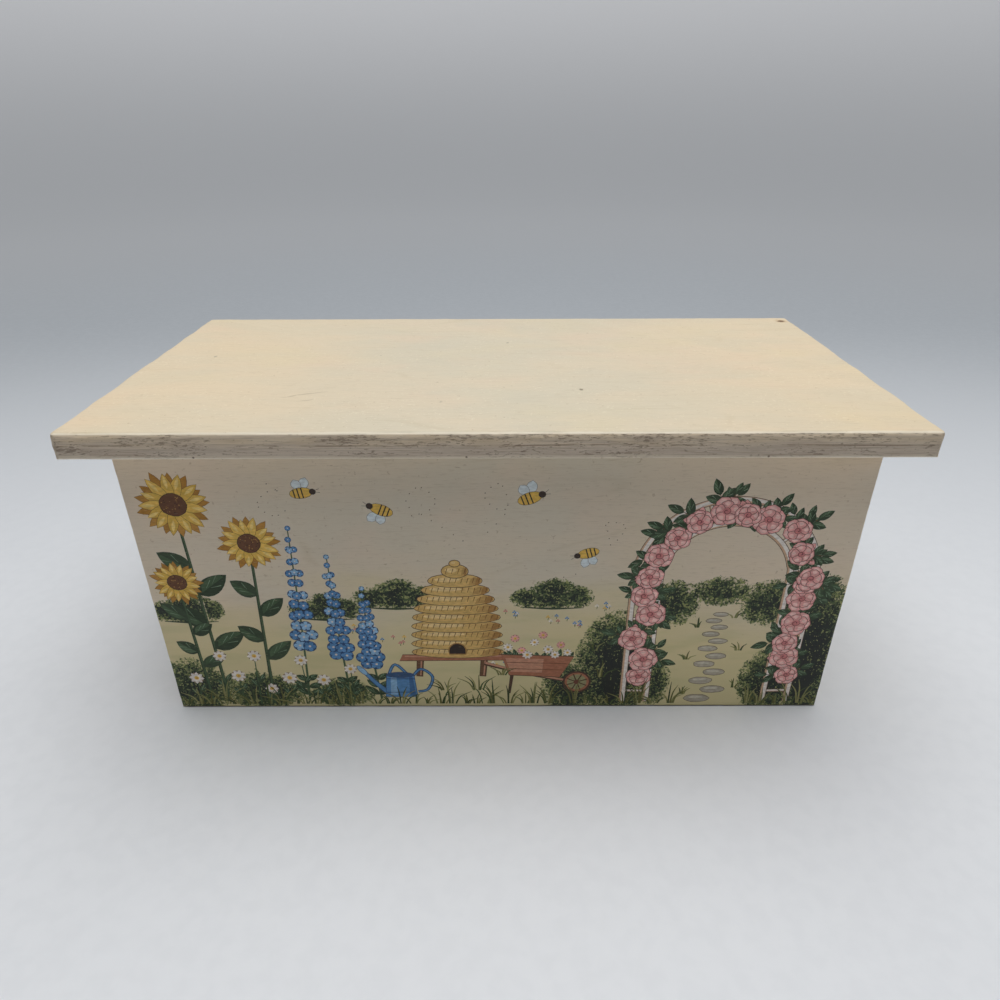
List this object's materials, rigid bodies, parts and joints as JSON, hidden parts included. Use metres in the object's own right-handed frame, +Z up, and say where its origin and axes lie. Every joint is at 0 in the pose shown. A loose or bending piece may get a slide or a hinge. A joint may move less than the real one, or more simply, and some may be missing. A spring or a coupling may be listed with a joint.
{
  "type": "recipe box",
  "caption": "Oblong wooden box for recipe cards, with a flat overhanging lid board on two small butt hinges.",
  "frame": {"origin": "centre of the base of the body, on the surface that the box stands on", "axes": "+X to the right as seen from the front, -Y to the front, +Z up"},
  "size_m": [0.25, 0.1307, 0.112],
  "materials": {
    "painted_wood": "matt cream paint over close grain",
    "plain_wood": "bare, sanded",
    "hinge_brass": "satin",
    "screw_brass": "satin",
    "brad_steel": "satin"
  },
  "bodies": {
    "box": {"front_panel": "painted_wood", "back_panel": "painted_wood", "left_side_panel": "painted_wood", "right_side_panel": "painted_wood", "bottom_panel": "plain_wood", "left_hinge_body_leaf": "hinge_brass", "left_hinge_pin": "hinge_brass", "left_hinge_body_screws": "screw_brass", "left_side_brads": "brad_steel", "right_hinge_body_leaf": "hinge_brass", "right_hinge_pin": "hinge_brass", "right_hinge_body_screws": "screw_brass", "right_side_brads": "brad_steel"},
    "lid": {"lid_board": "painted_wood", "left_hinge_lid_leaf": "hinge_brass", "left_hinge_lid_screws": "screw_brass", "right_hinge_lid_leaf": "hinge_brass", "right_hinge_lid_screws": "screw_brass"}
  },
  "joints": [
    {"name": "lid_hinge", "type": "hinge", "parent": "box", "child": "lid", "pos_m": [0, 0.0604, 0.104], "axis": [-1, 0, 0], "range_deg": [0, 205]}
  ]
}
